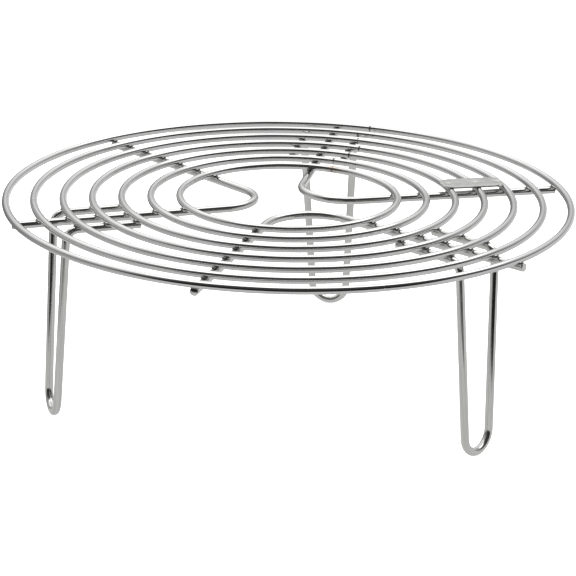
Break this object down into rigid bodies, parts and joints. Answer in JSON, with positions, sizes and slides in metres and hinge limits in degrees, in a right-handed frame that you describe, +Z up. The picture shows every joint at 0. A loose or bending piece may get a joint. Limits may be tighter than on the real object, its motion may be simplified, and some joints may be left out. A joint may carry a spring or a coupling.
{
  "type": "cooling rack",
  "caption": "Round welded wire cooling rack: concentric rings on hairpin spoke wires, raised on three hairpin legs, with a small blank plate.",
  "frame": {"origin": "on the surface under the feet, below the centre of the rings", "axes": "+Z up out of the rings; +Y towards the back leg; the other two legs stand at the front left and front right"},
  "size_m": [0.305, 0.3051, 0.1137],
  "materials": {
    "ring_wire": "bright polished stainless wire",
    "spoke_wire": "bright polished stainless wire",
    "leg_wire": "satin stainless wire with drawing lines along it",
    "plate": "smooth stainless sheet, blank",
    "weld": "electropolished weld bead, slightly darker than the wire",
    "seam_weld": "ground butt weld with a trace of brown heat tint"
  },
  "bodies": {
    "root": {"ring_1_rim": "ring_wire", "ring_2": "ring_wire", "ring_3": "ring_wire", "ring_4": "ring_wire", "ring_5": "ring_wire", "ring_6": "ring_wire", "ring_7_inner": "ring_wire", "spoke_back": "spoke_wire", "spoke_left": "spoke_wire", "spoke_front": "spoke_wire", "leg_back": "leg_wire", "leg_left": "leg_wire", "leg_right": "leg_wire", "name_plate": "plate", "ring_seam_welds": "seam_weld", "spoke_back_welds": "weld", "spoke_left_welds": "weld", "spoke_front_welds": "weld", "leg_back_welds": "weld", "leg_left_welds": "weld", "leg_right_welds": "weld", "plate_welds": "weld"}
  },
  "joints": []
}
